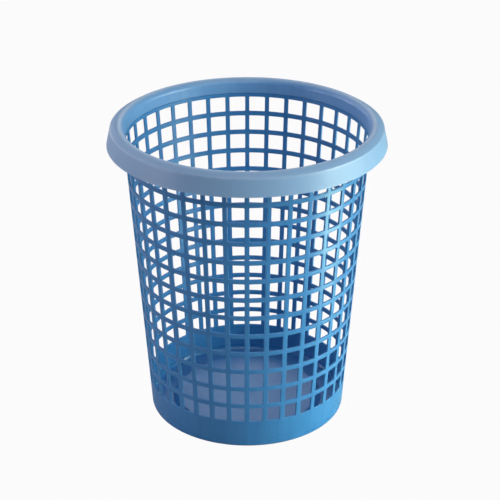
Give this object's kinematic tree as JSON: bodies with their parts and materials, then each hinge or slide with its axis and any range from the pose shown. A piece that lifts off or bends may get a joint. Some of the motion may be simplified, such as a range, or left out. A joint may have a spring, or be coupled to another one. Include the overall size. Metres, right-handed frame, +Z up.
{
  "type": "wastebasket",
  "caption": "Round tapered wastebasket with a moulded lattice wall, a plain base with a foot ring, and a lift-off ring over its mouth that clamps a bag.",
  "frame": {"origin": "centre of the standing ring, on the plane that the basket stands on", "axes": "+Z up along the basket's axis; a vertical bar of the lattice faces -Y"},
  "size_m": [0.2658, 0.2658, 0.3],
  "materials": {
    "basket_plastic": "semi-gloss moulded polypropylene, saturated blue",
    "ring_plastic": "satin moulded polypropylene, a greyer and lighter blue"
  },
  "bodies": {
    "basket": {"lattice_basket": "basket_plastic"},
    "ring": {"bag_ring": "ring_plastic"}
  },
  "joints": [
    {"name": "ring_lift", "type": "slide", "parent": "basket", "child": "ring", "axis": [0, 0, 1], "range_m": [0, 0.06]}
  ]
}
